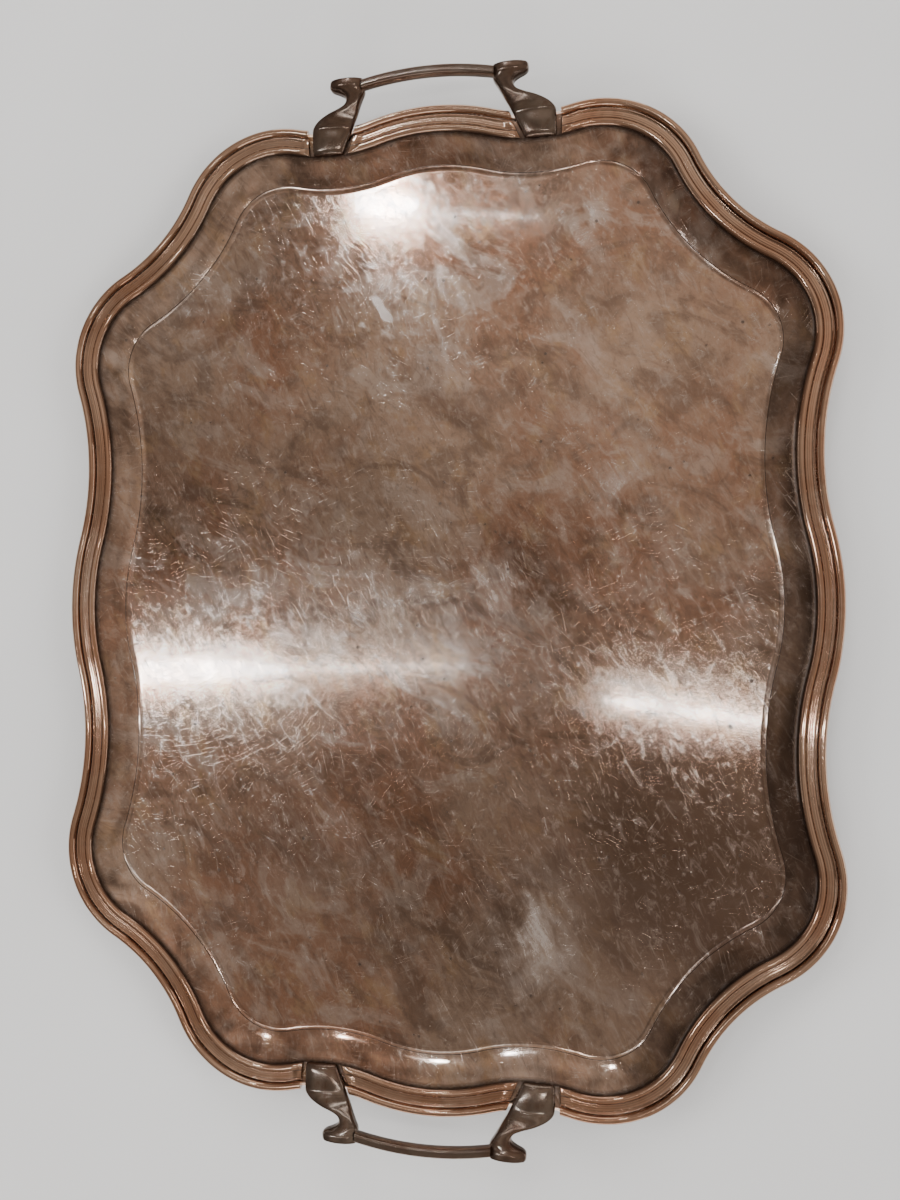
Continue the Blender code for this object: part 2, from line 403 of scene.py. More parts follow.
def moulding_height(offset, plain):
    """Height of the border above the flange. plain goes from 0 on the run to 1 at its cut end."""
    band = BAND_HEIGHT
    for centre, height, half in (LIP, *REEDS):
        band += height * bump_at(offset, centre, half)
    from_bead = (offset - BEAD_AT) / BEAD_HALF
    bead = BEAD_FOOT + BEAD_RISE * math.sqrt(max(0.0, 1 - from_bead**2))
    shaped = max(band, bead)
    across = (offset - MOULDING_OUTER) / (MOULDING_INNER - MOULDING_OUTER)
    flat = PLAIN_HEIGHT + PLAIN_CROWN * math.sin(math.pi * across)
    return shaped + (flat - shaped) * plain


# painted shade in the border's grooves and along its edges, most at its inner edge
def moulding_shade_and_grime(offset):
    beside, half, amount = REED_GROOVE
    places = [(reed[0] + beside, half, amount) for reed in REEDS]
    grooves = sum(deep * bump_at(offset, at, wide) for at, wide, deep in (*GROOVES, *places))
    edges = 0.2 * bump_at(offset, MOULDING_OUTER, 0.25) + bump_at(offset, MOULDING_INNER, 0.3)
    return min(1.0, grooves + edges)


def moulding_rails(run, x_sign, y_sign):
    """Rails of one run of border: the crowned upper face, then the flat underside."""
    rails, shade_and_grime = [], []
    span = MOULDING_INNER - MOULDING_OUTER
    for i in range(CROWN_STEPS + 1):
        offset = MOULDING_OUTER + span * i / CROWN_STEPS
        points = run(offset)
        rail = []
        length = path_lengths(points)
        for point, along in zip(points, length):
            from_end = min(along, length[-1] - along)
            plain = 1 - smoothstep((from_end - PLAIN_END) / REED_FADE)
            edge = min(1.0, from_end / CUT_SOFTENED)
            side = min(i, CROWN_STEPS - i) / 2.0
            round_off = 1 - 0.15 * (1 - min(1.0, side)) ** 2
            height = moulding_height(offset, plain) * round_off * (0.75 + 0.25 * edge)
            z = flange_height(offset) + height
            rail.append(Vector((x_sign * point.x, y_sign * point.y, z)))
        rails.append(rail)
        shade_and_grime.append(moulding_shade_and_grime(offset))
    # painted shade on the underside, most at its inner edge
    for offset, shade_and_dirt in ((MOULDING_INNER, 1.0), (MOULDING_OUTER, 0.1)):
        z = flange_height(offset) + GAP
        rails.append([Vector((x_sign * p.x, y_sign * p.y, z)) for p in run(offset)])
        shade_and_grime.append(shade_and_dirt)
    return rails, shade_and_grime


def path_lengths(points):
    lengths = [0.0]
    for a, b in zip(points, points[1:]):
        lengths.append(lengths[-1] + (b - a).length)
    return lengths


WIRE_SIDES = 20
WIRE_SHADE_AND_GRIME = 0.7
WIRE_SHADE_TURN = math.radians(25)


def wire_rails(run, x_sign, y_sign):
    """Rails of one run of round wire, with painted shade on its underside where it meets the moulding."""
    rails, shade_and_grime = [], []
    for i in range(WIRE_SIDES):
        angle = 2 * math.pi * i / WIRE_SIDES
        offset = WIRE_R + WIRE_R * math.cos(angle)
        rise = WIRE_R * math.sin(angle)
        rail = []
        for point in run(offset):
            rail.append(Vector((x_sign * point.x, y_sign * point.y, WIRE_Z + rise)))
        rails.append(rail)
        shade_and_grime.append(WIRE_SHADE_AND_GRIME * smoothstep(-0.3 - math.sin(angle + WIRE_SHADE_TURN)))
    return rails, shade_and_grime


def build_border(side, run, x_sign, y_sign, material):
    rails, shade_and_grime = moulding_rails(run, x_sign, y_sign)
    mesh = skin(side + "_border", rails, False, True, TRIM_SHARP_ANGLE, shade_and_grime)
    add_piece(side + "_border", mesh, side + "_rim_moulding", material)
    rails, shade_and_grime = wire_rails(run, x_sign, y_sign)
    mesh = skin(side + "_bead", rails, False, True, TRIM_SHARP_ANGLE, shade_and_grime)
    add_piece(side + "_bead", mesh, side + "_edge_wire", material)


# ---------------------------------------------------------------- handles


STATION_STEPS = 6
SECTION_STEPS = 9
TOP_STEPS = 16
CORNER_SOFT = 1.3
END_SHRINK = 0.22


def eased(stations):
    """The stations with others put between them, on a smooth curve through each value."""
    out = []
    last = len(stations) - 1
    for i in range(last):
        p0 = stations[max(i - 1, 0)]
        p1, p2 = stations[i], stations[i + 1]
        p3 = stations[min(i + 2, last)]
        for k in range(STATION_STEPS):
            t = k / STATION_STEPS
            row = []
            for a, b, c, d in zip(p0, p1, p2, p3):
                curve = 2 * b + (c - a) * t
                curve += (2 * a - 5 * b + 4 * c - d) * t**2
                curve += (3 * b - a - 3 * c + d) * t**3
                row.append(curve / 2)
            out.append(row)
    out.append(list(stations[-1]))
    return out


def bracket_section(x, rise, thickness, inner, outer, shrink):
    """Points round the bracket: a flat underside, rounded corners and a domed upper face."""
    base = FLANGE_TOP + rise
    middle, half = (inner + outer) / 2, (outer - inner) / 2
    soft = min(CORNER_SOFT, 0.3 * thickness, 0.4 * half)
    crown = 0.3 * thickness * smoothstep((half - 2.0) / 8.0) + 0.1 * thickness

    def lowered(y, up):
        return up - crown * abs(y / half) ** 2.5

    points = []
    corners = ((1, 1, 0.0), (-1, 1, 0.5), (-1, -1, 1.0), (1, -1, 1.5))
    for side, level, start in corners:
        for i in range(SECTION_STEPS + 1):
            turn = math.pi * (start + 0.5 * i / SECTION_STEPS)
            y = side * (half - soft) + soft * math.cos(turn)
            centre = thickness - soft if level > 0 else soft
            up = centre + soft * math.sin(turn)
            points.append((y, lowered(y, up) if level > 0 else up))
        if level > 0 and side > 0:
            for i in range(1, TOP_STEPS):
                y = (half - soft) * (1 - 2 * i / TOP_STEPS)
                points.append((y, lowered(y, thickness)))
    mid_height = base + thickness / 2
    return [
        Vector((x, middle + y * shrink, mid_height + (up - thickness / 2) * shrink))
        for y, up in points
    ]


def bracket_rails(x_sign, y_sign):
    """Rails along a bracket, whose sections shrink a little at both ends to round its edges off."""
    stations = eased(BRACKET_STATIONS)
    sections = []
    for i, station in enumerate(stations):
        from_end = min(i, len(stations) - 1 - i) / STATION_STEPS
        shrink = 1 - END_SHRINK * (1 - min(1.0, from_end * 3)) ** 3
        sections.append(bracket_section(*station, shrink))
    rails = [
        [Vector((x_sign * s[i].x, y_sign * s[i].y, s[i].z)) for s in sections]
        for i in range(len(sections[0]))
    ]
    # painted shade on the bracket's underside and lower corners
    under = 2 * SECTION_STEPS + TOP_STEPS + 1
    return rails, [1.0 if i > under else 0.0 for i in range(len(rails))]


GRIP_STEPS = 48
GRIP_TENON = 1.2  # how far each end of the grip runs into its bracket


def grip_rails(x_sign):
    """A bowed bar with a soft rectangular section."""
    half = GRIP_HIGH.y + GRIP_TENON
    radius = (half**2 + GRIP_BOW**2) / (2 * GRIP_BOW)
    wide = (GRIP_HIGH.x - GRIP_LOW.x - GRIP_BOW) / 2
    tall = (GRIP_HIGH.z - GRIP_LOW.z) / 2
    centre_x = GRIP_HIGH.x - wide
    centre_z = (GRIP_HIGH.z + GRIP_LOW.z) / 2
    rails = []
    corners = ((1, 1, 0), (-1, 1, 1), (-1, -1, 2), (1, -1, 3))
    for side, level, quarter in corners:
        for k in range(SECTION_STEPS + 1):
            turn = math.pi / 2 * (quarter + k / SECTION_STEPS)
            out = side * (wide - CORNER_SOFT) + CORNER_SOFT * math.cos(turn)
            up = level * (tall - CORNER_SOFT) + CORNER_SOFT * math.sin(turn)
            rail = []
            for i in range(GRIP_STEPS + 1):
                y = -half + 2 * half * i / GRIP_STEPS
                bow = math.sqrt(radius**2 - y**2) - radius
                rail.append(Vector((x_sign * (centre_x + bow + out), y, centre_z + up)))
            rails.append(rail)
    return rails


def build_handles(material):
    for end, x_sign in (("front", 1), ("rear", -1)):
        for side, y_sign in (("left", 1), ("right", -1)):
            name = f"{end}_{side}_bracket"
            rails, shade_and_grime = bracket_rails(x_sign, y_sign)
            mesh = skin(name, rails, False, True, TRIM_SHARP_ANGLE, shade_and_grime)
            add_piece(name, mesh, f"{end}_{side}_handle_bracket", material)
        name = end + "_grip"
        rails = grip_rails(x_sign)
        mesh = skin(name, rails, False, True, TRIM_SHARP_ANGLE, [0.0] * len(rails))
        add_piece(name, mesh, end + "_handle_grip", material)


# ---------------------------------------------------------------- materials


class Graph:
    """A short way to write a material's nodes. Lengths are in metres and angles in degrees."""

    def __init__(self, name):
        self.material = bpy.data.materials.new(name)
        self.material.use_nodes = True
        self.tree = self.material.node_tree
        self.shader = self.tree.nodes["Principled BSDF"]
        self.coords = self.tree.nodes.new("ShaderNodeTexCoord").outputs["Object"]

    def link(self, value, socket):
        if isinstance(value, bpy.types.NodeSocket):
            self.tree.links.new(value, socket)
        else:
            socket.default_value = value

    def math(self, operation, *values, clamp=False):
        made = self.tree.nodes.new("ShaderNodeMath")
        made.operation = operation
        made.use_clamp = clamp
        for value, socket in zip(values, made.inputs):
            self.link(value, socket)
        return made.outputs[0]

    def mapped(self, turn=0.0, along=1.0, across=1.0, shift=(0, 0)):
        """Coordinates turned by an angle, then stretched. along and across are sizes in metres."""
        made = self.tree.nodes.new("ShaderNodeMapping")
        made.vector_type = "TEXTURE"
        self.link(self.coords, made.inputs["Vector"])
        made.inputs["Scale"].default_value = (along, across, 1.0)
        made.inputs["Rotation"].default_value = (0, 0, math.radians(turn))
        made.inputs["Location"].default_value = (*shift, 0.0)
        return made.outputs[0]

    def patch(self, place, along, across, turn=0.0):
        """A soft spot, 1 in its middle and 0 at its edge."""
        made = self.tree.nodes.new("ShaderNodeTexGradient")
        made.gradient_type = "QUADRATIC_SPHERE"
        self.link(self.mapped(turn, along, across, place), made.inputs["Vector"])
        return made.outputs["Fac"]

    def cells(self, scale, low, high):
        """Small separate dots."""
        made = self.tree.nodes.new("ShaderNodeTexVoronoi")
        made.inputs["Scale"].default_value = scale
        self.link(self.coords, made.inputs["Vector"])
        return self.spread(made.outputs["Distance"], low, high, 1.0, 0.0)

    def attribute(self, name):
        made = self.tree.nodes.new("ShaderNodeAttribute")
        made.attribute_name = name
        return made.outputs["Fac"]

    def noise(self, vector, scale, detail=4.0, roughness=0.5, distortion=0.0):
        made = self.tree.nodes.new("ShaderNodeTexNoise")
        self.link(vector, made.inputs["Vector"])
        made.inputs["Scale"].default_value = scale
        made.inputs["Detail"].default_value = detail
        made.inputs["Roughness"].default_value = roughness
        made.inputs["Distortion"].default_value = distortion
        return made.outputs[0]

    def spread(self, value, low, high, to_low=0.0, to_high=1.0, smooth=True):
        made = self.tree.nodes.new("ShaderNodeMapRange")
        made.interpolation_type = "SMOOTHSTEP" if smooth else "LINEAR"
        self.link(value, made.inputs["Value"])
        made.inputs["From Min"].default_value = low
        made.inputs["From Max"].default_value = high
        made.inputs["To Min"].default_value = to_low
        made.inputs["To Max"].default_value = to_high
        return made.outputs[0]

    def mix(self, factor, first, second, blend="MIX"):
        made = self.tree.nodes.new("ShaderNodeMix")
        made.data_type = "RGBA"
        made.blend_type = blend
        self.link(factor, made.inputs["Factor"])
        self.link(first, made.inputs["A"])
        self.link(second, made.inputs["B"])
        return made.outputs["Result"]

    def scratches(self, turn, length, width, seed, low=0.66, high=0.72):
        """Fine straight lines in one direction, in loose groups."""
        lines = self.noise(self.mapped(turn, length, width, (seed, seed * 0.37)), 1.0, 1.0, 0.5)
        groups = self.noise(self.mapped(0, 1, 1, (seed * 3.1, seed)), 30.0, 3.0, 0.6)
        return self.product(self.spread(lines, low, high), self.spread(groups, 0.48, 0.62))

    def arcs(self, place, length, width, seed):
        """Fine lines that curve round a point, as a polishing cloth leaves them."""
        flat = self.tree.nodes.new("ShaderNodeSeparateXYZ")
        self.link(self.mapped(0, 1, 1, place), flat.inputs[0])
        x, y = flat.outputs["X"], flat.outputs["Y"]
        reach = self.math("SQRT", self.math("ADD", self.product(x, x), self.product(y, y)))
        turn = self.math("ARCTAN2", y, x)
        joined = self.tree.nodes.new("ShaderNodeCombineXYZ")
        self.link(self.product(turn, 1 / length), joined.inputs["X"])
        self.link(self.product(reach, 1 / width), joined.inputs["Y"])
        joined.inputs["Z"].default_value = seed
        return self.spread(self.noise(joined.outputs[0], 1.0, 1.0, 0.5), 0.63, 0.7)

    def product(self, *values):
        out = values[0]
        for value in values[1:]:
            out = self.math("MULTIPLY", out, value)
        return out

    def total(self, *values):
        out = values[0]
        for value in values[1:]:
            out = self.math("ADD", out, value)
        return out

    def bump(self, height, strength, distance, normal=None):
        made = self.tree.nodes.new("ShaderNodeBump")
        made.inputs["Strength"].default_value = strength
        made.inputs["Distance"].default_value = distance
        self.link(height, made.inputs["Height"])
        if normal:
            self.link(normal, made.inputs["Normal"])
        return made.outputs[0]


SILVER = (0.56, 0.44, 0.36, 1.0)
COPPER = (0.45, 0.255, 0.165, 1.0)
GOLDEN = (0.60, 0.43, 0.27, 1.0)
# dark for tarnish, and for two patches of painted shade on the pan
TARNISH_AND_SHADE = (0.16, 0.10, 0.072, 1.0)
# dark for pits, and for painted shade in creases, grooves and undersides
DIRT_AND_SHADE = (0.045, 0.032, 0.026, 1.0)
# pale for haze, specks and smears, and for painted glow round the mirrored lamps
HAZE_AND_GLOW = (0.80, 0.76, 0.74, 1.0)
# pale for painted glints on nicks and scratches
NICK_AND_GLINT = (0.95, 0.88, 0.82, 1.0)

PALE_TRIM = (0.68, 0.52, 0.41, 1.0)
COPPER_TRIM = (0.57, 0.37, 0.265, 1.0)
GREY_CASTING = (0.25, 0.22, 0.195, 1.0)
BROWN_CASTING = (0.20, 0.15, 0.125, 1.0)

# Smeared places on the pan, some of them painted glow round the lamps it mirrors: place, length and width
# in metres, direction in degrees, strength.
SMEARS_AND_GLOWS = (
    ((0.175, 0.15), 0.075, 0.05, 20, 0.8),
    ((0.18, 0.02), 0.05, 0.035, 60, 0.7),
    ((0.121, -0.133), 0.03, 0.009, 32, 1.1),
    ((0.06, -0.11), 0.085, 0.06, 25, 0.75),
    # painted glow round the middle of the mirrored lamp band
    ((0.008, 0.01), 0.05, 0.12, 0, 1.2),
    ((0.003, -0.168), 0.045, 0.02, 0, 0.9),
    ((-0.186, -0.056), 0.06, 0.04, 0, 1.9),
    ((-0.216, 0.094), 0.014, 0.06, 0, 0.7),
    ((-0.235, -0.02), 0.02, 0.06, 0, 0.6),
    ((0.22, -0.09), 0.045, 0.03, 10, 0.6),
    # the last three: painted glow round the left band, the right band and the hot spot that the pan
    # mirrors
    ((-0.020, 0.105), 0.075, 0.13, 0, 0.5),
    ((-0.048, -0.125), 0.050, 0.08, 0, 0.4),
    ((0.205, 0.050), 0.050, 0.07, 0, 0.35),
)


# Fine scratches on the pan: direction in degrees, length and width in metres, seed.
SCRATCHES = (
    (12, 0.018, 0.0008, 1.3),
    (-34, 0.012, 0.0007, 4.7),
    (63, 0.016, 0.0008, 8.9),
    (90, 0.014, 0.0007, 12.1),
    (-66, 0.013, 0.0007, 15.5),
    (30, 0.022, 0.0009, 21.9),
)
# Hair lines that only the gloss shows: direction in degrees, seed.
HAIR_LINES = ((24, 3.3), (-62, 8.7), (86, 14.9))


def plated_colour(g, mottle):
    """Silver worn to copper in clouds, with golden, tarnished and pale blotches, and two broad patches of
    painted shade.
    """
    cloud = g.noise(g.coords, 7.0, 7.0, 0.62, 0.4)
    colour = g.mix(g.spread(cloud, 0.4, 0.62), SILVER, COPPER)
    gold = g.spread(g.noise(g.mapped(25, 1.0, 0.6), 34.0, 5.0, 0.62), 0.52, 0.66, 0.0, 0.7)
    colour = g.mix(gold, colour, GOLDEN)
    dark = g.spread(g.noise(g.coords, 13.0, 6.0, 0.6, 0.8), 0.5, 0.72, 0.0, 0.65)
    colour = g.mix(dark, colour, TARNISH_AND_SHADE)
    colour = g.mix(g.spread(mottle, 0.5, 0.7, 0.0, 0.4), colour, TARNISH_AND_SHADE)
    colour = g.mix(g.spread(mottle, 0.48, 0.3, 0.0, 0.25), colour, HAZE_AND_GLOW)
    blotch = g.noise(g.mapped(62, 0.045, 0.026, (2.3, 5.1)), 1.0, 6.0, 0.6, 0.9)
    colour = g.mix(g.spread(blotch, 0.5, 0.64, 0.0, 0.55), colour, TARNISH_AND_SHADE)
    colour = g.mix(g.spread(blotch, 0.47, 0.36, 0.0, 0.4), colour, HAZE_AND_GLOW)
    # painted shade: two broad dark patches for a shadow and a dark reflection on the pan
    shade = g.total(
        g.product(g.patch((-0.13, -0.15), 0.2, 0.17), 1.4),
        g.product(g.patch((-0.13, 0.09), 0.13, 0.12), 0.5),
    )
    return g.mix(g.math("MINIMUM", g.product(shade, 1.2), 0.9), colour, TARNISH_AND_SHADE)


def smeared_and_glowing(g):
    """How hazy the surface is: a little everywhere, more in the smears, some of which are painted glow
    round the mirrored lamps, and where a cloth has wiped.
    """
    streaky = g.noise(g.mapped(28, 0.05, 0.009), 1.0, 6.0, 0.7, 0.5)
    broad = g.spread(g.noise(g.coords, 24.0, 5.0, 0.65, 1.2), 0.4, 0.62)
    everywhere = g.product(g.spread(g.noise(g.coords, 6.0, 4.0, 0.6), 0.5, 0.7), 0.3)
    places = [
        g.product(g.patch(place, along, across, turn), strength)
        for place, along, across, turn, strength in SMEARS_AND_GLOWS
    ]
    haze_and_glow = g.product(g.total(everywhere, *places), g.spread(streaky, 0.35, 0.6, 0.25, 1.0), broad)
    wiped = g.product(g.arcs((0.15, 0.06), 0.6, 0.011, 8.0), g.patch((0.175, 0.03), 0.085, 0.09))
    return g.math("MINIMUM", g.total(haze_and_glow, g.product(wiped, 0.9)), 1.0)


def scratched(g):
    """Where the surface is scratched: straight lines in groups, and curved ones in two places."""
    marks = g.scratches(*SCRATCHES[0])
    for scratch in SCRATCHES[1:]:
        marks = g.math("MAXIMUM", marks, g.scratches(*scratch))
    upper = g.product(g.arcs((0.15, 0.10), 0.25, 0.0008, 3.0), g.patch((0.17, 0.02), 0.09, 0.09))
    lower = g.product(g.arcs((0.02, 0.17), 0.16, 0.0007, 5.0), g.patch((-0.07, 0.12), 0.07, 0.12))
    return g.math("MAXIMUM", marks, g.math("MAXIMUM", upper, lower))


def worn_sheet():
    g = Graph("worn_plated_sheet")
    mottle = g.noise(g.coords, 60.0, 6.0, 0.65)
    fine = g.noise(g.coords, 420.0, 4.0, 0.6)
    rubbed = g.noise(g.mapped(28, 0.016, 0.006, (1.7, 1.7)), 1.0, 6.0, 0.68, 1.4)
    specks = g.noise(g.coords, 210.0, 3.0, 0.7)
    haze_and_glow = smeared_and_glowing(g)
    marks = scratched(g)
    worn = g.spread(g.noise(g.mapped(0, 1, 1, (4.1, 2.2)), 9.0, 3.0, 0.6), 0.46, 0.6)
    # small dots at nicks, which are painted pale as glints
    nicks_and_glints = g.product(g.cells(170.0, 0.03, 0.1), worn)
    pits = g.product(g.cells(120.0, 0.06, 0.16), g.spread(mottle, 0.5, 0.6))
    shade_and_grime = g.attribute("shade_and_grime")

    colour = plated_colour(g, mottle)
    colour = g.mix(g.spread(rubbed, 0.5, 0.68, 0.0, 0.28), colour, HAZE_AND_GLOW)
    colour = g.mix(g.spread(rubbed, 0.48, 0.32, 0.0, 0.35), colour, TARNISH_AND_SHADE)
    colour = g.mix(g.spread(specks, 0.55, 0.72, 0.0, 0.3), colour, HAZE_AND_GLOW)
    colour = g.mix(g.spread(specks, 0.45, 0.28, 0.0, 0.2), colour, TARNISH_AND_SHADE)
    # pale haze: real smears, and painted glow round the mirrored lamps
    colour = g.mix(g.product(haze_and_glow, 0.75), colour, HAZE_AND_GLOW)
    # painted glints: scratches a little and nicks more, lightened towards a pale glint colour; the marks
    # themselves are real
    colour = g.mix(g.product(marks, 0.18), colour, NICK_AND_GLINT)
    colour = g.mix(g.product(nicks_and_glints, 0.5), colour, NICK_AND_GLINT)
    colour = g.mix(g.product(pits, 0.75), colour, DIRT_AND_SHADE)
    # painted shade: darkened along the crease and under the border, broken by fine noise
    colour = g.mix(g.product(shade_and_grime, g.spread(fine, 0.3, 0.6, 0.8, 1.0)), colour, DIRT_AND_SHADE)
    g.link(colour, g.shader.inputs["Base Color"])

    rough = g.total(
        g.spread(mottle, 0.3, 0.75, 0.07, 0.13),
        g.product(haze_and_glow, 0.2),
        g.spread(specks, 0.5, 0.7, 0.0, 0.08),
        g.spread(rubbed, 0.5, 0.68, 0.0, 0.08),
        g.product(marks, 0.12),
        g.product(nicks_and_glints, 0.2),
        g.product(pits, 0.25),
        g.product(shade_and_grime, 0.3),
    )
    g.link(rough, g.shader.inputs["Roughness"])
    bare = g.math("SUBTRACT", 1.0, g.total(g.product(haze_and_glow, 0.1), g.product(marks, 0.05)))
    g.link(bare, g.shader.inputs["Metallic"])

    normal = g.bump(g.noise(g.coords, 20.0, 3.0, 0.5), 0.22, 0.0004)
    normal = g.bump(fine, 0.05, 0.0002, normal)
    for turn, seed in HAIR_LINES:
        hair = g.noise(g.mapped(turn, 0.03, 0.0007, (seed, seed)), 1.0, 2.0, 0.5)
        normal = g.bump(hair, 0.035, 0.0002, normal)
    normal = g.bump(marks, 0.18, 0.0001, normal)
    g.link(normal, g.shader.inputs["Normal"])

    # a clear sheen over the worn plating, thinner where it is hazy or dirty
    dulled = g.total(g.product(haze_and_glow, 0.3), g.product(shade_and_grime, 0.7))
    polish = g.math("SUBTRACT", 0.75, dulled, clamp=True)
    g.link(polish, g.shader.inputs["Coat Weight"])
    g.link(g.spread(mottle, 0.35, 0.7, 0.03, 0.07), g.shader.inputs["Coat Roughness"])
    g.shader.inputs["Coat IOR"].default_value = 1.95
    ripple = g.bump(g.noise(g.coords, 60.0, 4.0, 0.6), 0.12, 0.0003)
    g.link(ripple, g.shader.inputs["Coat Normal"])
    return g.material


def worn_trim():
    g = Graph("worn_plated_trim")
    cloud = g.noise(g.coords, 18.0, 6.0, 0.6, 0.3)
    mottle = g.noise(g.coords, 160.0, 5.0, 0.6)
    colour = g.mix(g.spread(cloud, 0.4, 0.6, 0.1, 1.0), PALE_TRIM, COPPER_TRIM)
    colour = g.mix(g.spread(mottle, 0.54, 0.75, 0.0, 0.2), colour, TARNISH_AND_SHADE)
    # painted shade in the grooves and under the beads, broken by the mottle
    shade_and_grime = g.product(g.attribute("shade_and_grime"), g.spread(mottle, 0.25, 0.6, 0.7, 1.0))
    colour = g.mix(g.product(shade_and_grime, 0.92), colour, DIRT_AND_SHADE)
    g.link(colour, g.shader.inputs["Base Color"])
    rough = g.total(g.spread(mottle, 0.3, 0.7, 0.05, 0.12), g.product(shade_and_grime, 0.3))
    g.link(rough, g.shader.inputs["Roughness"])
    normal = g.bump(g.noise(g.coords, 70.0, 3.0, 0.5), 0.08, 0.0003)
    g.link(normal, g.shader.inputs["Normal"])
    g.shader.inputs["Metallic"].default_value = 1.0
    return g.material


def worn_casting():
    g = Graph("worn_plated_casting")
    cloud = g.noise(g.coords, 40.0, 6.0, 0.6, 0.3)
    mottle = g.noise(g.coords, 220.0, 5.0, 0.6)
    colour = g.mix(g.spread(cloud, 0.4, 0.65), GREY_CASTING, BROWN_CASTING)
    colour = g.mix(g.spread(mottle, 0.48, 0.75, 0.0, 0.6), colour, TARNISH_AND_SHADE)
    # painted shade on the brackets' undersides
    colour = g.mix(g.product(g.attribute("shade_and_grime"), 0.8), colour, DIRT_AND_SHADE)
    g.link(colour, g.shader.inputs["Base Color"])
    g.link(g.spread(mottle, 0.3, 0.7, 0.13, 0.26), g.shader.inputs["Roughness"])
    normal = g.bump(g.noise(g.coords, 120.0, 4.0, 0.55), 0.09, 0.0003)
    g.link(normal, g.shader.inputs["Normal"])
    g.shader.inputs["Metallic"].default_value = 1.0
    return g.material


def pale_floor():
    g = Graph("pale_floor")
    shade = g.spread(g.noise(g.coords, 3.0, 3.0, 0.5), 0.3, 0.7, 0.66, 0.72)
    g.link(shade, g.shader.inputs["Base Color"])
    g.shader.inputs["Roughness"].default_value = 0.75
    return g.material


# ---------------------------------------------------------------- studio


FLOOR_HALF = 6.0
FLOOR_GAP = 0.0004
STRIP_HEIGHT = 1.5
FILL_SIZE = (1.6, 1.2)
CARD_HEIGHT = 0.14
COOL = (0.93, 0.96, 1.0)
WHITE = (1.0, 0.99, 1.0)
SOFT = (1.0, 0.97, 0.94)
GLOW = (1.0, 0.96, 0.95)
PINKISH = (1.0, 0.95, 0.93)
WARM = (1.0, 0.93, 0.88)


def add_stage():
    mesh = bpy.data.meshes.new("studio_floor")
    half = FLOOR_HALF
    corners = [(-half, -half, 0), (half, -half, 0), (half, half, 0), (-half, half, 0)]
    mesh.from_pydata([Vector(c) for c in corners], [], [(0, 1, 2, 3)])
    floor = bpy.data.objects.new("studio_floor", mesh)
    floor.location.z = -FLOOR_GAP
    bpy.context.scene.collection.objects.link(floor)
    mesh.materials.append(pale_floor())


def add_lamp(name, place, size, watts, colour, shape="RECTANGLE"):
    data = bpy.data.lights.new(name, "AREA")
    data.shape = shape
    data.size, data.size_y = size
    data.energy = watts
    data.color = colour
    lamp = bpy.data.objects.new(name, data)
    lamp.location = place
    bpy.context.scene.collection.objects.link(lamp)
    return lamp


def add_fill(name, place, watts):
    """A big soft lamp for the floor. The tray does not mirror it."""
    lamp = add_lamp(name, place, FILL_SIZE, watts, SOFT)
    lamp.rotation_euler = (-Vector(place)).to_track_quat("-Z", "Y").to_euler()
    lamp.visible_glossy = False


def add_card(name, place, length, watts):
    """A low wide lamp beside the tray, which draws a light line along every bead and moulding."""
    lamp = add_lamp(name, place, (length, CARD_HEIGHT), watts, WARM)
    lamp.rotation_euler = (-Vector(place)).to_track_quat("-Z", "Y").to_euler()
    lamp.visible_camera = False


def add_strip(name, start, end, width, watts, colour):
    """A long lens-shaped lamp that hangs level over the tray and shines down."""
    start, end = Vector(start), Vector(end)
    run = end - start
    middle = (start + end) / 2
    place = (middle.x, middle.y, STRIP_HEIGHT)
    lamp = add_lamp(name, place, (run.length, width), watts, colour, "ELLIPSE")
    lamp.rotation_euler.z = math.atan2(run.y, run.x)


def add_lights():
    """Strips that the pan mirrors as bright bands, low cards for the beads, and soft fill."""
    add_strip("left_strip", (-0.134, 1.08), (-0.114, 0.56), 0.046, 1.7, WHITE)
    add_strip("left_strip_end", (-0.114, 0.80), (-0.106, 0.16), 0.016, 0.24, WARM)
    add_strip("left_glow", (-0.12, 1.1), (-0.10, 0.10), 0.10, 0.16, GLOW)
    add_strip("left_halo", (-0.10, 1.2), (-0.08, -0.05), 0.40, 0.20, PINKISH)
    add_strip("right_strip", (-0.165, -0.12), (-0.215, -0.50), 0.026, 0.78, WARM)
    add_strip("right_glow", (-0.16, -0.05), (-0.215, -0.52), 0.18, 0.07, PINKISH)
    add_strip("front_lamp", (0.93, 0.42), (0.91, 0.27), 0.052, 1.5, COOL)
    add_strip("front_lamp_end", (0.91, 0.40), (0.865, 0.0), 0.016, 0.15, WARM)
    add_card("left_card", (0.0, 1.4, 0.25), 1.3, 0.6)
    add_card("right_card", (0.0, -1.4, 0.25), 1.3, 1.6)
    add_card("front_card", (1.5, 0.0, 0.25), 1.0, 1.6)
    add_card("rear_card", (-1.5, 0.0, 0.25), 1.0, 2.0)
    add_fill("soft_left", (0.2, 2.4, 1.5), 40)
    add_fill("soft_right", (-0.2, -2.4, 1.5), 40)
    add_fill("soft_front", (2.6, 0.0, 1.5), 30)
    add_fill("soft_rear", (-2.6, 0.0, 1.5), 30)


ROOM_LOW = (0.115, 0.085, 0.068, 1.0)
ROOM_HIGH = (0.35, 0.27, 0.215, 1.0)
WALL = (0.70, 0.69, 0.68, 1.0)


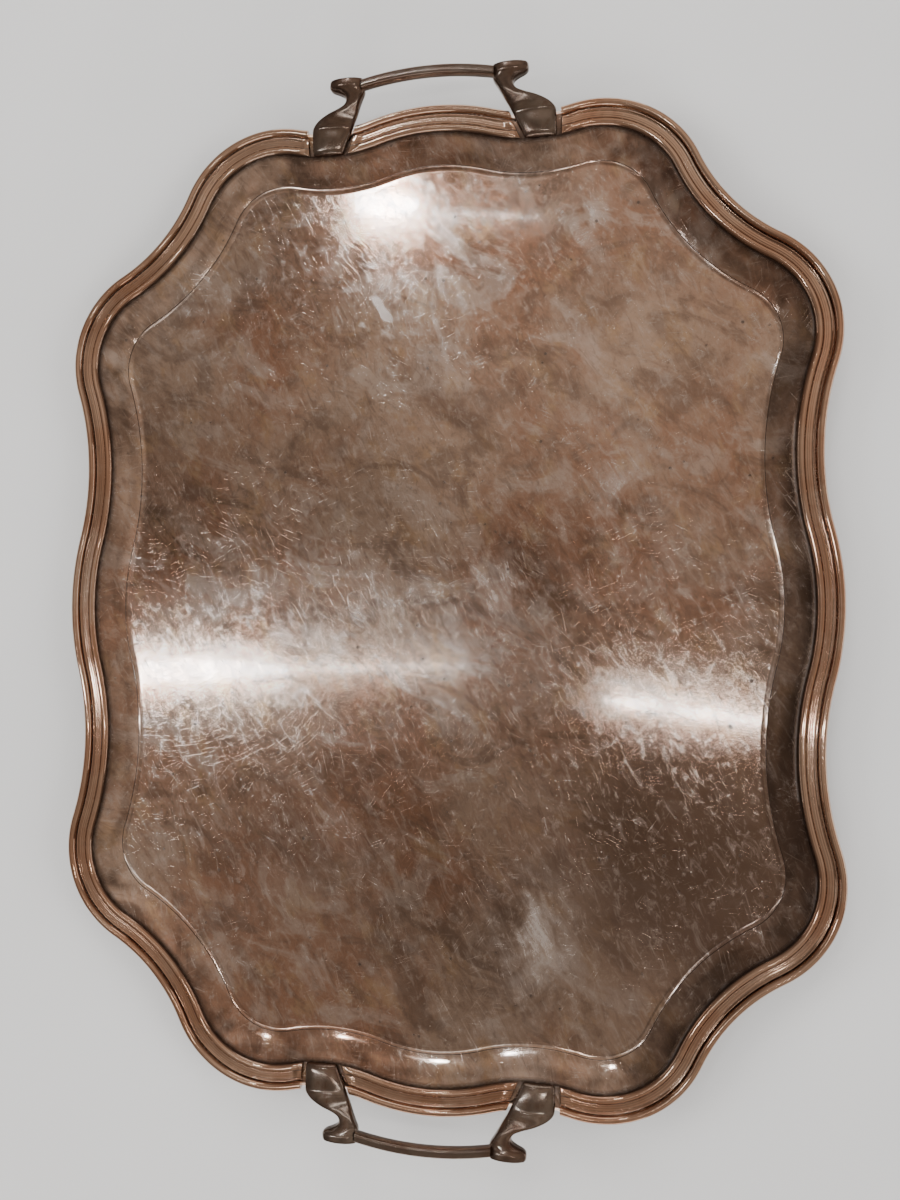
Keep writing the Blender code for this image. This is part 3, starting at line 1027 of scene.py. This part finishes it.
def add_world():
    """A dim warm room that the metal mirrors, inside a plain pale one that lights everything else."""
    world = bpy.data.worlds.new("studio")
    bpy.context.scene.world = world
    world.use_nodes = True
    nodes, links = world.node_tree.nodes, world.node_tree.links

    def scaled_sum(value, factor, added):
        made = nodes.new("ShaderNodeMath")
        made.operation = "MULTIPLY_ADD"
        for given, socket in zip((value, factor, added), made.inputs):
            if isinstance(given, bpy.types.NodeSocket):
                links.new(given, socket)
            else:
                socket.default_value = given
        return made.outputs[0]

    coords = nodes.new("ShaderNodeTexCoord").outputs["Generated"]
    split = nodes.new("ShaderNodeSeparateXYZ")
    links.new(coords, split.inputs[0])
    ramp = nodes.new("ShaderNodeValToRGB")
    low, high = ramp.color_ramp.elements
    low.position, low.color = 0.15, ROOM_LOW
    high.position, high.color = 0.95, ROOM_HIGH
    links.new(split.outputs["Z"], ramp.inputs["Fac"])
    clouds = nodes.new("ShaderNodeTexNoise")
    clouds.inputs["Scale"].default_value = 2.6
    clouds.inputs["Detail"].default_value = 3.0
    links.new(coords, clouds.inputs["Vector"])
    patchy = nodes.new("ShaderNodeMapRange")
    patchy.inputs["From Min"].default_value = 0.35
    patchy.inputs["From Max"].default_value = 0.65
    patchy.inputs["To Min"].default_value = 0.6
    patchy.inputs["To Max"].default_value = 1.5
    links.new(clouds.outputs[0], patchy.inputs["Value"])
    # 1 + 0.25 x + 0.9 x^2 - 0.3 y: brighter beyond both ends, dimmer on the left
    ends = scaled_sum(split.outputs["X"], 0.9, 0.25)
    forward = scaled_sum(split.outputs["X"], ends, 1.0)
    sides = scaled_sum(split.outputs["Y"], -0.3, forward)
    strength = nodes.new("ShaderNodeMath")
    strength.operation = "MULTIPLY"
    links.new(patchy.outputs[0], strength.inputs[0])
    links.new(sides, strength.inputs[1])
    room = nodes["Background"]
    links.new(ramp.outputs["Color"], room.inputs["Color"])
    links.new(strength.outputs[0], room.inputs["Strength"])
    wall = nodes.new("ShaderNodeBackground")
    wall.inputs["Color"].default_value = WALL
    either = nodes.new("ShaderNodeMixShader")
    links.new(nodes.new("ShaderNodeLightPath").outputs["Is Glossy Ray"], either.inputs[0])
    links.new(wall.outputs[0], either.inputs[1])
    links.new(room.outputs[0], either.inputs[2])
    links.new(either.outputs[0], nodes["World Output"].inputs["Surface"])


# ---------------------------------------------------------------- camera

CAMERA_PLACE = (-0.0109, -0.0845, 0.5447)
CAMERA_TILT = (1.47, 10.86, 0.32)
CAMERA_LENS = 28.5
CAMERA_SHIFT = 0.0417


def add_camera():
    data = bpy.data.cameras.new("camera")
    data.sensor_fit = "AUTO"
    data.sensor_width = 36.0
    data.lens = CAMERA_LENS
    data.shift_x = CAMERA_SHIFT
    data.clip_start = 0.01
    camera = bpy.data.objects.new("camera", data)
    tilt = Euler([math.radians(angle) for angle in CAMERA_TILT]).to_matrix()
    turned = Matrix.Rotation(math.radians(-90), 3, "Z") @ tilt
    camera.matrix_world = Matrix.LocRotScale(Vector(CAMERA_PLACE), turned.to_quaternion(), None)
    bpy.context.scene.collection.objects.link(camera)
    bpy.context.scene.camera = camera


def main():
    build_pan(worn_sheet())
    trim = worn_trim()
    build_border("left", side_run, 1, 1, trim)
    build_border("right", side_run, 1, -1, trim)
    build_border("front", end_run, 1, 1, trim)
    build_border("rear", end_run, -1, 1, trim)
    build_handles(worn_casting())
    add_stage()
    add_lights()
    add_world()
    add_camera()


main()
